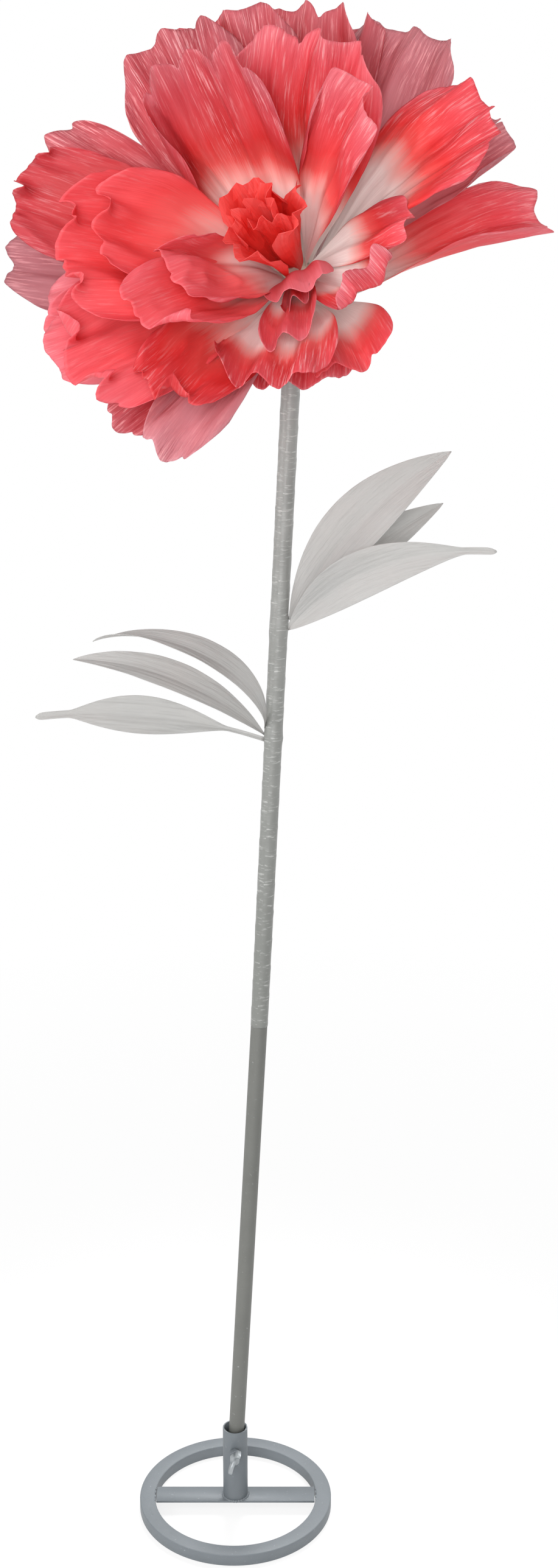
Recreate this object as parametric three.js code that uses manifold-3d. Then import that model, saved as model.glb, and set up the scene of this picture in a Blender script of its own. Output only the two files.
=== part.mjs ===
// Giant paper poppy on a pole: ruffled crepe-paper petals round a turned block, on a two-piece pole that
// stands in a socket on a steel ring. Millimetres, +Z up, the flower looks towards -Y.

import * as THREE from 'three';
import { mergeVertices } from 'three/addons/utils/BufferGeometryUtils.js';
import Module from 'manifold-3d';

const wasm = await Module();
wasm.setup();

// Clearance between pieces that touch
const GAP = 0.3;

// Steel stand
const RING_OUTER = 125;
const RING_INNER = 105;
const RING_HEIGHT = 16;
const RING_CHAMFER = 1.2;
const RING_SEGMENTS = 40;
const BAR_WIDTH = 30;
const BAR_THICKNESS = 3;
const SOCKET_OUTER = 16;
const SOCKET_INNER = 14;
const SOCKET_TOP = 118;
const RING_PLACE = new THREE.Vector3(-53, 70, 0);

// Wing screw in the front of the socket
const SCREW_HEIGHT = 90;
const SCREW_RADIUS = 4;
const SCREW_TIP = -9.8;
const SCREW_CLEARANCE = 0.45;
const NUT_WIDTH = 13;
const NUT_LENGTH = 8;
const WING_COLLAR_RADIUS = 6;
const WING_COLLAR_LENGTH = 10;
const WING_SPAN = 32;
const WING_REACH = 12;
const WING_THICKNESS = 4;
const WING_TURN = 0.42;

// Pole: foot in the socket, joint of the two pipes, and end inside the flower block
const POLE_FOOT = new THREE.Vector3(-3.2, 1.6, 17);
const POLE_JOINT = new THREE.Vector3(32.9, -7.8, 689);
const POLE_TOP = new THREE.Vector3(74.5, -20, 1556);
const LOWER_PIPE_RADIUS = 10;
const LOWER_PIPE_BORE = 8.5;
const UPPER_PIPE_RADIUS = 9.5;
const UPPER_PIPE_BORE = 8.3;
const SPIGOT_RADIUS = 7.9;
const SPIGOT_HALF_LENGTH = 60;
const WRAP_RADIUS = 10.6;
const WRAP_TOP_BELOW_END = 27;

// Flower block: radius along the flower's axis, from its back to the nib at its front
const FLOWER_CENTRE = new THREE.Vector3(78, -40, 1573);
const FLOWER_AXIS = new THREE.Vector3(-0.3, -0.78, 0.55).normalize();
const BLOCK_PROFILE = [
  [-34, 14], [-27, 21], [-10, 21.4], [4, 18.2], [20, 14.3], [27, 11], [31, 5], [38, 4],
];
const BORE_RUN = 100;
const PETAL_SEAT = 0.5;
const PAPER = 0.6;

const UP = new THREE.Vector3(0, 0, 1);
const ROUND = 24;
const SMALL_ROUND = 16;
const DEGREE = Math.PI / 180;

// Petals: clock is the direction seen from the front, clockwise from straight up; tilt leans it towards
// the front. Rise is the height of the petal's foot on the block, and seatClock the side of the block
// that it sits on where that isn't the way it points. Angles are degrees.
const OUTER_RING = {
  rise: -12, roll: -12, bend: 22, cup: 14, ruffle: 9, foot: 0.08, seat: PETAL_SEAT,
};
const OUTER_PETALS = [
  { clock: -15, tilt: -4, length: 284, width: 170 },
  { clock: 0, tilt: -8, length: 274, width: 150, rise: -16 },
  { clock: 22, tilt: -13, length: 281, width: 190, rise: -20 },
  { clock: 49, tilt: -7, length: 252, width: 104, rise: -22 },
  { clock: 68, seatClock: 135, seat: 4.1, tilt: -5, length: 256, width: 108, rise: -24, cup: 66, ruffle: 5 },
  { clock: 134, tilt: 60, length: 150, width: 108, roll: -18 },
  { clock: 191, tilt: 62, length: 147, width: 128, rise: -18 },
  { clock: 229, tilt: 45, length: 256, width: 76, rise: -18 },
  { clock: 238, tilt: 31, length: 245, width: 66, rise: -18, roll: -24 },
  { clock: 256, tilt: 12, length: 257, width: 118, roll: -15 },
  { clock: 262, tilt: 1, length: 262, width: 120, rise: -16 },
  { clock: 275, tilt: -12, length: 315, width: 130, rise: -22 },
  { clock: 288, tilt: -2, length: 306, width: 120 },
  { clock: 300, tilt: -18, length: 304, width: 86, rise: -22 },
  { clock: 328, tilt: -3, length: 282, width: 146 },
  { clock: 11, tilt: -16, length: 274, width: 70, rise: -20 },
];
const MIDDLE_RING = {
  rise: 4, roll: -10, bend: 20, cup: 24, ruffle: 9, foot: 0.08, seat: PETAL_SEAT,
};
const MIDDLE_PETALS = [
  { clock: -28, tilt: 18, length: 252, width: 180 },
  { clock: 2, tilt: 16, length: 244, width: 190, rise: 0 },
  { clock: 47.5, tilt: 13, length: 251, width: 146, rise: 1 },
  { clock: 281, tilt: 27, length: 258, width: 168, rise: 8 },
  { clock: 252, tilt: 31, length: 268, width: 160 },
  { clock: 235, tilt: 48, length: 236, width: 114 },
  { clock: 202, tilt: 67, length: 190, width: 132 },
];
const INNER_RING = {
  rise: 20, roll: -10, bend: 14, cup: 34, ruffle: 7, foot: 0.1, seat: PETAL_SEAT,
};
const INNER_PETALS = [
  { clock: 18, tilt: 38, length: 247, width: 110, roll: -15 },
  { clock: 289, tilt: 31, length: 230, width: 130, rise: 16 },
  { clock: 285, tilt: 52, length: 190, width: 120, rise: 24 },
  { clock: 340, tilt: 79, length: 110, width: 76, rise: 22, ruffle: 5 },
  { clock: 264, tilt: 53, length: 240, width: 110 },
  { clock: 96, tilt: 57, length: 150, width: 90 },
  { clock: 62, tilt: 37, length: 150, width: 64 },
  { clock: 191, tilt: 71, length: 150, width: 80, rise: 17 },
  { clock: 176, tilt: 80, length: 105, width: 44 },
];

// Core: two rings of three narrow petals, opened by a few degrees from the flower's axis
const CORE_RINGS = [
  { rise: 34, open: 7, start: 20, width: 44, cup: 40, ruffle: 4, bend: 2, roll: -25 },
  { rise: 27, open: 17, start: 80, width: 66, cup: 50, ruffle: 5, bend: 8, roll: -14 },
];
const CORE_PER_RING = 3;
const CORE_LENGTH = 115;
const CORE_COMMON = { length: CORE_LENGTH, waves: 3, foot: 0.16, seat: 2 * PETAL_SEAT };

// Outline of a petal: where it is widest, how far its corners are rounded, how deep its scallops are
const PETAL_BELLY = 0.75;
const PETAL_FLARE = 1.25;
const PETAL_CORNER = 0.16;
const PETAL_SCALLOP = 0.015;

// Cells of the paper sheets; wide petals and rolled-up ones are cut finer across
const PETAL_ROWS = 6;
const PETAL_COLUMNS = 6;
const FINE_COLUMNS = 9;
const PETAL_WAVES = 2;
const FINE_WAVES = 3;
const WIDE_PETAL = 125;
const ROLLED_CUP = 60;
const CORE_CELLS = 5;
const LEAF_ROWS = 9;
const LEAF_COLUMNS = 4;

// Leaves: height of the foot on the pole, bow is the sideways arch, fold the crease along the midrib
const LEAF_COMMON = {
  tilt: 0, roll: 0, bend: 20, bow: 0, fold: 12, twist: 0, stalk: 0.06, start: 0, end: 1, tail: 0.06,
  peak: 1, facing: [0, -1, 0.35],
};
const LEAF_FULLNESS = 0.85;
const LEAVES = {
  leaf_right_upper: {
    height: 1183, clock: 40, tilt: 6, length: 276, width: 68, bow: -17, bend: 16, roll: -12,
  },
  leaf_right_middle: { height: 1186, clock: 50, tilt: -6, length: 216, width: 48, bow: -8, bend: 10 },
  leaf_right_lower: {
    height: 1170, clock: 65, tilt: 17, length: 254, width: 54, bow: -30, bend: 18, roll: 10,
    end: 0.88, tail: 0.16, peak: 0.9,
  },
  leaf_left_upper: {
    height: 1062, clock: 297, tilt: 5, length: 283, width: 42, bend: 125, twist: -40, facing: [0, -0.6, 0.75],
  },
  leaf_left_middle: {
    height: 1057, clock: 290, tilt: -8, length: 252, width: 44, bend: 66, facing: [0, -0.55, 0.8],
  },
  leaf_left_lower: {
    height: 1052, clock: 277, tilt: 4, length: 264, width: 46, bend: 10, bow: 14,
    stalk: 0.12, start: 0.16, end: 0.86, tail: 0.2, peak: 1.15,
  },
};

const PAINTED_STEEL = new THREE.MeshStandardMaterial({ color: 0x8f979d, roughness: 0.5, metalness: 0.2 });
const ZINC = new THREE.MeshStandardMaterial({ color: 0xb9bcbd, roughness: 0.35, metalness: 0.9 });
const BARE_PIPE = new THREE.MeshStandardMaterial({ color: 0xa9aaa6, roughness: 0.5, metalness: 0.1 });
const WHITE_CREPE = new THREE.MeshStandardMaterial({ color: 0xd8d6d2, roughness: 0.85 });
const WOOD = new THREE.MeshStandardMaterial({ color: 0xc9a97c, roughness: 0.8 });
const CORAL_CREPE = new THREE.MeshStandardMaterial({ color: 0xe65060, roughness: 0.6 });
const RED_CREPE = new THREE.MeshStandardMaterial({ color: 0xd62f2a, roughness: 0.65 });

// Adds one named piece to a group
function addPiece(group, name, geometry, material) {
  const mesh = new THREE.Mesh(geometry, material);
  mesh.name = name;
  group.add(mesh);
  return mesh;
}

// Turns a mesh modelled along +Z so that it runs from one point towards another
function layAlong(mesh, from, towards) {
  const direction = towards.clone().sub(from).normalize();
  mesh.quaternion.setFromUnitVectors(UP, direction);
  mesh.position.copy(from);
}

// Body of revolution about +Z from pairs of radius and height, listed bottom to top on the outside
function turned(profile, segments) {
  const points = profile.map(([radius, height]) => new THREE.Vector2(radius, height));
  return new THREE.LatheGeometry(points, segments).rotateX(Math.PI / 2);
}

// Straight tube along +Z
function tube(outer, inner, bottom, top, segments) {
  const profile = [[inner, bottom], [outer, bottom], [outer, top], [inner, top], [inner, bottom]];
  return turned(profile, segments);
}

// Solid for joining and cutting, in the frame of a given matrix
function solidOf(geometry, matrix = new THREE.Matrix4()) {
  const bare = geometry.clone().applyMatrix4(matrix);
  bare.deleteAttribute('normal');
  bare.deleteAttribute('uv');
  const merged = mergeVertices(bare);
  const triVerts = Uint32Array.from(merged.index.array);
  const vertProperties = Float32Array.from(merged.attributes.position.array);
  return new wasm.Manifold(new wasm.Mesh({ numProp: 3, vertProperties, triVerts }));
}

function geometryOf(solid) {
  const { vertProperties, triVerts } = solid.getMesh();
  const geometry = new THREE.BufferGeometry();
  geometry.setAttribute('position', new THREE.BufferAttribute(vertProperties, 3));
  geometry.setIndex(new THREE.BufferAttribute(triVerts, 1));
  return geometry;
}

// Cylinder along the screw's axis, from one Y to another
function screwCylinder(radius, back, front, segments) {
  const geometry = new THREE.CylinderGeometry(radius, radius, back - front, segments);
  return geometry.translate(0, (back + front) / 2, SCREW_HEIGHT);
}

function buildStand(group) {
  const c = RING_CHAMFER;
  const ring = turned([
    [RING_INNER, 0], [RING_OUTER, 0], [RING_OUTER, RING_HEIGHT - c], [RING_OUTER - c, RING_HEIGHT],
    [RING_INNER + c, RING_HEIGHT], [RING_INNER, RING_HEIGHT - c], [RING_INNER, 0],
  ], RING_SEGMENTS);
  addPiece(group, 'base_ring', ring, PAINTED_STEEL);

  const halfWidth = BAR_WIDTH / 2;
  const halfLength = Math.sqrt((RING_INNER * Math.cos(Math.PI / RING_SEGMENTS)) ** 2 - halfWidth ** 2) - GAP;
  const bar = new THREE.BoxGeometry(2 * halfLength, BAR_WIDTH, BAR_THICKNESS);
  bar.translate(0, 0, RING_HEIGHT - BAR_THICKNESS / 2);
  addPiece(group, 'cross_bar', bar, PAINTED_STEEL);

  const socket = solidOf(tube(SOCKET_OUTER, SOCKET_INNER, RING_HEIGHT + GAP, SOCKET_TOP, ROUND));
  const hole = solidOf(screwCylinder(SCREW_RADIUS + SCREW_CLEARANCE, 0, -2 * SOCKET_OUTER, SMALL_ROUND));
  addPiece(group, 'socket_tube', geometryOf(socket.subtract(hole)), PAINTED_STEEL);
}

function buildClamp(group) {
  const nutBack = -SOCKET_OUTER - GAP;
  const corner = new THREE.Vector2(0, NUT_WIDTH / Math.sqrt(3));
  const centre = new THREE.Vector2();
  const hexagon = new THREE.Shape();
  hexagon.setFromPoints([0, 1, 2, 3, 4, 5].map((i) => corner.clone().rotateAround(centre, i * Math.PI / 3)));
  const bore = new THREE.Path();
  bore.absarc(0, 0, SCREW_RADIUS + SCREW_CLEARANCE, 0, 2 * Math.PI);
  hexagon.holes.push(bore);
  const nut = new THREE.ExtrudeGeometry(hexagon, {
    depth: NUT_LENGTH, bevelEnabled: false, curveSegments: SMALL_ROUND / 2,
  });
  nut.rotateX(Math.PI / 2).translate(0, nutBack, SCREW_HEIGHT);
  addPiece(group, 'clamp_nut', nut, PAINTED_STEEL);

  const collarBack = nutBack - NUT_LENGTH - 2 * GAP;
  const collarFront = collarBack - WING_COLLAR_LENGTH;
  const half = WING_SPAN / 2;
  const wing = new THREE.Shape();
  wing.moveTo(0, 0);
  wing.lineTo(WING_COLLAR_RADIUS, 0);
  wing.quadraticCurveTo(half, WING_REACH * 0.2, half, WING_REACH);
  wing.quadraticCurveTo(half, WING_REACH * 1.7, half * 0.75, WING_REACH * 1.6);
  wing.quadraticCurveTo(half * 0.55, WING_REACH * 1.1, 0, WING_REACH * 0.8);
  wing.closePath();
  const wingBlank = new THREE.ExtrudeGeometry(wing, {
    depth: WING_THICKNESS, bevelEnabled: false, curveSegments: 6,
  });
  wingBlank.translate(0, 0, -WING_THICKNESS / 2);
  let screw = solidOf(screwCylinder(SCREW_RADIUS, SCREW_TIP, collarBack - GAP, SMALL_ROUND));
  screw = screw.add(solidOf(screwCylinder(WING_COLLAR_RADIUS, collarBack, collarFront, SMALL_ROUND)));
  const collarCentre = new THREE.Matrix4().makeTranslation(0, collarBack, SCREW_HEIGHT);
  for (const side of [1, -1]) {
    const turn = new THREE.Matrix4().makeRotationY(WING_TURN + side * Math.PI / 2);
    const outwards = new THREE.Matrix4().makeRotationX(Math.PI);
    const place = collarCentre.clone().multiply(turn).multiply(outwards);
    screw = screw.add(solidOf(wingBlank, place));
  }
  addPiece(group, 'wing_screw', geometryOf(screw), ZINC);
}

function buildPole(group) {
  const lowerLength = POLE_JOINT.distanceTo(POLE_FOOT);
  const lower = tube(LOWER_PIPE_RADIUS, LOWER_PIPE_BORE, 0, lowerLength - GAP, ROUND);
  layAlong(addPiece(group, 'lower_pipe', lower, BARE_PIPE), POLE_FOOT, POLE_JOINT);

  const upperLength = POLE_TOP.distanceTo(POLE_JOINT);
  const upper = tube(UPPER_PIPE_RADIUS, UPPER_PIPE_BORE, GAP, upperLength, ROUND);
  layAlong(addPiece(group, 'upper_pipe', upper, BARE_PIPE), POLE_JOINT, POLE_TOP);

  const wrapTop = upperLength - WRAP_TOP_BELOW_END;
  const wrap = tube(WRAP_RADIUS, UPPER_PIPE_RADIUS + GAP, GAP, wrapTop, ROUND);
  layAlong(addPiece(group, 'stem_wrap', wrap, WHITE_CREPE), POLE_JOINT, POLE_TOP);

  const spigot = turned([
    [0, -SPIGOT_HALF_LENGTH], [SPIGOT_RADIUS, -SPIGOT_HALF_LENGTH], [SPIGOT_RADIUS, SPIGOT_HALF_LENGTH],
    [0, SPIGOT_HALF_LENGTH],
  ], SMALL_ROUND);
  const below = POLE_JOINT.clone().sub(POLE_FOOT).normalize();
  const above = POLE_TOP.clone().sub(POLE_JOINT).normalize();
  const spigotEnd = POLE_JOINT.clone().add(below.add(above));
  layAlong(addPiece(group, 'pole_spigot', spigot, BARE_PIPE), POLE_JOINT, spigotEnd);
}

// Turned block with a slanted bore for the end of the pole
function buildBlock(group) {
  const back = BLOCK_PROFILE[0][0];
  const front = BLOCK_PROFILE.at(-1)[0];
  const side = BLOCK_PROFILE.map(([height, radius]) => [radius, height]);
  const block = new THREE.Mesh(turned([[0, back], ...side, [0, front]], ROUND));
  layAlong(block, FLOWER_CENTRE, FLOWER_CENTRE.clone().add(FLOWER_AXIS));
  block.updateMatrix();
  const bore = turned([
    [0, -BORE_RUN], [UPPER_PIPE_RADIUS + GAP, -BORE_RUN], [UPPER_PIPE_RADIUS + GAP, GAP], [0, GAP],
  ], ROUND);
  const drill = new THREE.Mesh(bore);
  layAlong(drill, POLE_TOP, POLE_TOP.clone().multiplyScalar(2).sub(POLE_JOINT));
  drill.updateMatrix();
  const solid = solidOf(block.geometry, block.matrix).subtract(solidOf(bore, drill.matrix));
  addPiece(group, 'flower_block', geometryOf(solid), WOOD);
}

function blockRadius(rise) {
  const upper = BLOCK_PROFILE.findIndex(([height]) => height >= rise);
  const [h0, r0] = BLOCK_PROFILE[upper - 1];
  const [h1, r1] = BLOCK_PROFILE[upper];
  return r0 + (r1 - r0) * (rise - h0) / (h1 - h0);
}

// Direction from its clock angle and its tilt towards the front
function frontDirection(clock, tilt) {
  const level = Math.cos(tilt * DEGREE);
  return new THREE.Vector3(
    level * Math.sin(clock * DEGREE), -Math.sin(tilt * DEGREE), level * Math.cos(clock * DEGREE));
}

// Direction opened from the flower's axis, turned round it clockwise from above
function axisDirection(open, turn) {
  const above = UP.clone().addScaledVector(FLOWER_AXIS, -UP.dot(FLOWER_AXIS)).normalize();
  const right = above.clone().cross(FLOWER_AXIS);
  return FLOWER_AXIS.clone().multiplyScalar(Math.cos(open * DEGREE))
    .addScaledVector(above, Math.sin(open * DEGREE) * Math.cos(turn * DEGREE))
    .addScaledVector(right, Math.sin(open * DEGREE) * Math.sin(turn * DEGREE));
}

// Axes of a sheet that runs along a direction and shows its inner face towards another, rolled about itself
function sheetAxes(along, facing, roll) {
  const flat = facing.clone().addScaledVector(along, -facing.dot(along)).normalize();
  const across = along.clone().cross(flat);
  const inner = flat.clone().multiplyScalar(Math.cos(roll * DEGREE))
    .addScaledVector(across, Math.sin(roll * DEGREE));
  const side = along.clone().cross(inner);
  return { along, inner, side };
}

// Point on a midrib that bends away from its inner face; s runs from the foot to the tip
function midrib(length, bend, s) {
  const total = bend * DEGREE;
  const angle = total * (s - 0.5);
  return {
    angle,
    forward: length / total * (Math.sin(angle) + Math.sin(total / 2)),
    outward: length / total * (Math.cos(total / 2) - Math.cos(angle)),
  };
}

// Places a point of a sheet from its midrib, its height over the midrib's inner face and its side offset
function sheetPoint(foot, axes, rib, height, offset) {
  return foot.clone()
    .addScaledVector(axes.along, rib.forward + height * Math.sin(rib.angle))
    .addScaledVector(axes.inner, height * Math.cos(rib.angle) - rib.outward)
    .addScaledVector(axes.side, offset);
}

// Surface of a ruffled petal: u runs from its gathered foot to its scalloped edge, v from side to side
function petalSurface(petal, direction) {
  const axes = sheetAxes(direction, FLOWER_AXIS, petal.roll);
  const seat = petal.seatClock ? frontDirection(petal.seatClock, petal.tilt) : direction;
  const outwards = seat.clone().addScaledVector(FLOWER_AXIS, -seat.dot(FLOWER_AXIS)).normalize();
  const foot = FLOWER_AXIS.clone().multiplyScalar(petal.rise)
    .addScaledVector(outwards, blockRadius(petal.rise) + petal.seat);
  return (u, v) => {
    const scallop = PETAL_SCALLOP * Math.cos(Math.PI * (petal.waves + 0.5) * v);
    const s = u * (1 - PETAL_CORNER * Math.abs(v) ** 3 + scallop);
    const opened = Math.sin(Math.PI / 2 * Math.min(Math.max(s / PETAL_BELLY, 0), 1)) ** PETAL_FLARE;
    const spread = petal.foot + (1 - petal.foot) * opened;
    const half = petal.width / 2 * spread;
    const curl = petal.cup * DEGREE * spread;
    const hollow = half / curl * (1 - Math.cos(v * curl));
    const ruffle = petal.ruffle * s * s * Math.sin(Math.PI * petal.waves * v);
    const rib = midrib(petal.length, petal.bend, s);
    return sheetPoint(foot, axes, rib, hollow + ruffle, half / curl * Math.sin(v * curl));
  };
}

// Surface of a leaf with a creased midrib, on a stalk at its foot and with a short tail at its tip
function leafSurface(leaf) {
  const direction = frontDirection(leaf.clock, leaf.tilt);
  const axes = sheetAxes(direction, new THREE.Vector3(...leaf.facing).normalize(), leaf.roll);
  const share = (leaf.height - POLE_JOINT.z) / (POLE_TOP.z - POLE_JOINT.z);
  const level = direction.clone().setZ(0).normalize();
  const lean = leaf.width / 2 * leaf.stalk * Math.abs(axes.side.dot(level));
  const foot = POLE_JOINT.clone().lerp(POLE_TOP, share);
  foot.addScaledVector(level, WRAP_RADIUS + PETAL_SEAT + lean);
  return (u, v) => {
    const blade = Math.min(Math.max((u - leaf.start) / (leaf.end - leaf.start), 0), 1) ** leaf.peak;
    const slim = u > leaf.end ? leaf.tail : leaf.stalk + (leaf.tail - leaf.stalk) * blade;
    const half = leaf.width / 2 * Math.max(slim, Math.sin(Math.PI * blade) ** LEAF_FULLNESS);
    const flat = v * half * Math.cos(leaf.fold * DEGREE);
    const raised = Math.abs(v) * half * Math.sin(leaf.fold * DEGREE);
    const twist = leaf.twist * DEGREE * u * u;
    const across = flat * Math.cos(twist) - raised * Math.sin(twist) + 4 * leaf.bow * u * (1 - u);
    const height = flat * Math.sin(twist) + raised * Math.cos(twist);
    return sheetPoint(foot, axes, midrib(leaf.length, leaf.bend, u), height, across);
  };
}

// Closed sheet of paper over a surface, half its thickness to each side, with the same diagonals on both
function paperSheet(surface, rows, columns) {
  const positions = [];
  const triangles = [];
  const down = 1 / rows;
  const over = 2 / columns;
  for (const half of [PAPER / 2, -PAPER / 2]) {
    for (let i = 0; i <= rows; i++) {
      for (let j = 0; j <= columns; j++) {
        const u = i / rows;
        const v = 2 * j / columns - 1;
        const lengthwise = surface(u + down, v).sub(surface(u - down, v));
        const crosswise = surface(u, v + over).sub(surface(u, v - over));
        const normal = lengthwise.cross(crosswise).normalize();
        positions.push(...surface(u, v).addScaledVector(normal, half).toArray());
      }
    }
  }
  const under = (rows + 1) * (columns + 1);
  const at = (i, j) => i * (columns + 1) + j;
  const quad = (a, b, c, d) => triangles.push(a, b, c, a, c, d);
  for (let i = 0; i < rows; i++) {
    for (let j = 0; j < columns; j++) {
      const [a, b, c, d] = [at(i, j), at(i + 1, j), at(i + 1, j + 1), at(i, j + 1)];
      quad(a, b, c, d);
      quad(a + under, d + under, c + under, b + under);
    }
  }
  const rim = [];
  for (let j = 0; j < columns; j++) rim.push(at(0, j));
  for (let i = 0; i < rows; i++) rim.push(at(i, columns));
  for (let j = columns; j > 0; j--) rim.push(at(rows, j));
  for (let i = rows; i > 0; i--) rim.push(at(i, 0));
  rim.forEach((a, k) => {
    const b = rim[(k + 1) % rim.length];
    quad(a, b, b + under, a + under);
  });
  const geometry = new THREE.BufferGeometry();
  geometry.setAttribute('position', new THREE.Float32BufferAttribute(positions, 3));
  geometry.setIndex(triangles);
  return geometry;
}

function addPetalRing(group, prefix, common, petals, digits) {
  petals.forEach((entry, i) => {
    const petal = { ...common, ...entry };
    const fine = petal.width >= WIDE_PETAL || petal.cup > ROLLED_CUP;
    petal.waves = fine ? FINE_WAVES : PETAL_WAVES;
    const sheet = paperSheet(
      petalSurface(petal, frontDirection(petal.clock, petal.tilt)), PETAL_ROWS,
      fine ? FINE_COLUMNS : PETAL_COLUMNS);
    addPiece(group, `${prefix}_${String(i + 1).padStart(digits, '0')}`, sheet, CORAL_CREPE);
  });
}

function buildFlower(group) {
  buildBlock(group);
  const head = new THREE.Group();
  head.position.copy(FLOWER_CENTRE);
  addPetalRing(head, 'outer_petal', OUTER_RING, OUTER_PETALS, 2);
  addPetalRing(head, 'middle_petal', MIDDLE_RING, MIDDLE_PETALS, 1);
  addPetalRing(head, 'inner_petal', INNER_RING, INNER_PETALS, 1);
  CORE_RINGS.forEach((ring, k) => {
    for (let i = 0; i < CORE_PER_RING; i++) {
      const direction = axisDirection(ring.open, ring.start + i * 360 / CORE_PER_RING);
      const sheet = paperSheet(petalSurface({ ...CORE_COMMON, ...ring }, direction), CORE_CELLS, CORE_CELLS);
      addPiece(head, `core_petal_${k * CORE_PER_RING + i + 1}`, sheet, RED_CREPE);
    }
  });
  group.add(head);
}

function buildLeaves(group) {
  for (const [name, leaf] of Object.entries(LEAVES)) {
    const sheet = paperSheet(leafSurface({ ...LEAF_COMMON, ...leaf }), LEAF_ROWS, LEAF_COLUMNS);
    addPiece(group, name, sheet, WHITE_CREPE);
  }
}

const model = new THREE.Group();
buildStand(model);
buildClamp(model);
buildPole(model);
buildFlower(model);
buildLeaves(model);

// The origin is on the floor, under the middle of the whole object, and the ring stands off it
model.position.copy(RING_PLACE);
model.updateMatrixWorld(true);

export default model;
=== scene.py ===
"""Looks of a giant paper poppy: dyed crepe petals, paper leaves, a wound stem and a steel stand."""

import math

import bmesh
import bpy
import numpy as np
from mathutils import Matrix, Vector, noise


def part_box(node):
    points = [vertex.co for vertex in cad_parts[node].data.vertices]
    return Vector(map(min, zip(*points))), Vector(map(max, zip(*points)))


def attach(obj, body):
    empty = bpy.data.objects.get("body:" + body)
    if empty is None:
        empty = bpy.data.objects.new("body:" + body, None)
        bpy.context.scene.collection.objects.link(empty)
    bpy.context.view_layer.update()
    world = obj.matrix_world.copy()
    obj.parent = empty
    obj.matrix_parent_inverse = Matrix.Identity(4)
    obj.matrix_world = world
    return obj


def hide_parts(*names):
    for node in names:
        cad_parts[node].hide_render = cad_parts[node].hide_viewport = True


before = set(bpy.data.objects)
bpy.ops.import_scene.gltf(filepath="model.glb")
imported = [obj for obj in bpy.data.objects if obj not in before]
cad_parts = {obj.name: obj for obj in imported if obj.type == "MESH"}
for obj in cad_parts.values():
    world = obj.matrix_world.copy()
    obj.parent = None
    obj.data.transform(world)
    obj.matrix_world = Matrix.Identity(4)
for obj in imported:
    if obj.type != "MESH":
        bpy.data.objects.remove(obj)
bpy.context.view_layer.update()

MM = 0.001

# Pole and flower, in metres from the middle of the base ring on the floor
RING_LOW, RING_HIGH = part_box("base_ring")
RING_CENTRE = np.array([(RING_LOW.x + RING_HIGH.x) / 2, (RING_LOW.y + RING_HIGH.y) / 2, 0.0])
POLE_FOOT = RING_CENTRE + MM * np.array([-3.2, 1.6, 17.0])
POLE_JOINT = RING_CENTRE + MM * np.array([32.9, -7.8, 689.0])
POLE_TOP = RING_CENTRE + MM * np.array([74.5, -20.0, 1556.0])
FLOWER_CENTRE = RING_CENTRE + MM * np.array([78.0, -40.0, 1573.0])
FLOWER_AXIS = np.array([-0.30, -0.78, 0.55]) / np.linalg.norm([-0.30, -0.78, 0.55])
UP = np.array([0.0, 0.0, 1.0])

# Block that carries the petals: height on the flower's axis and radius, in millimetres
BLOCK_PROFILE = [(-34, 14), (-27, 21), (-10, 21.4), (4, 18.2), (20, 14.3), (27, 11), (31, 5), (38, 4)]

# Wound stem and the pole's joint, in millimetres. The tape's edge is a share of one turn
WRAP_RADIUS = 10.6
WRAP_INSET = 0.3
WRAP_TOP_BELOW_END = 27
WRAP_WALL = 0.9
WRAP_CELLS = (48, 260)
TAPE_PITCH = 36.0
TAPE_STEP = 0.5
TAPE_EDGE = 0.96
TAPE_EDGE_SOFTNESS = 0.015
TAPE_CRUMPLE = 0.22
TAPE_CRUMPLE_RUN = 9
LEAF_JOINTS = (1188, 1056)
LEAF_JOINT_SPREAD = 9
LEAF_JOINT_LUMP = 0.7
LOWER_PIPE_RADIUS = 10.0
LOWER_PIPE_BORE = 8.5
PIPE_EDGE = 0.5
PIPE_STEPS = 48

# Base ring and weld beads of the stand, in millimetres
RING_WIDTH = 20
RING_EDGE = 1.4
RING_STEPS = 128
SOCKET_RADIUS = 16.0
WELD_SIZE = 1.9
WELD_SIDES = 10
WELD_STEPS = 160
WELD_RIPPLE = 0.22
WELD_RIPPLES = 34
TACKS = (-12, -5, 4, 11)
TACK_SIZE = (1.1, 2.6, 0.5)

# CAD pieces that stay: width of their softened edges in millimetres, and the angle that makes an edge
SOFT_EDGES = {"cross_bar": 0.6, "socket_tube": 0.5, "clamp_nut": 0.8, "wing_screw": 0.7}
SOFT_ANGLE = 38

# Paper sheets: thickness in millimetres, then the outline of a petal as shares of its length and half-width
PETAL_PAPER = 0.4
LEAF_PAPER = 0.5
PETAL_BELLY = 0.75
PETAL_FLARE = 1.25
PETAL_CORNER = 0.1
FLAP_CORNER = 0.05
CORNER_ROUND = 0.13
FLAP_TAPER = 0.55
FLAP_LEAST = 0.1
PETAL_SCALLOP = 0.015
LOBE_DEPTH = 0.07
LOBE_DRIFT = 0.25
LOBE_PHASE = 0.21
LOBE_ROUNDNESS = 0.35
NOTCH_WIDTH = 0.2
RAGGED_DEPTH = 0.004
HEM_START = 0.93
HEM_DRIFT = 0.04
HEM_SOFTNESS = 0.03
TAB_WIDTH = 48
RIM_OPENING = 1.0
RUFFLE_SWAY = 1.1
WIDE_PETAL = 125
ROLLED_CUP = 60
NARROW_WAVES = 2
WIDE_WAVES = 3
FACETED_CELLS = 20
STEP_COUNT = 40
STEPS = (np.arange(STEP_COUNT) + 0.5) / STEP_COUNT

# Uneven surface of a petal: shift of the noise's seed, then the run of one bump across and along it
PLEAT_NOISE = (0.2, 40, 170)
CRUMPLE_NOISE = (0.3, 50, 55)
DENT_NOISE = (0.15, 90, 70)
CRIMP_NOISE = (0.9, 12, 80)
RAGGED_NOISE = (0.8, 9, 60)

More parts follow.
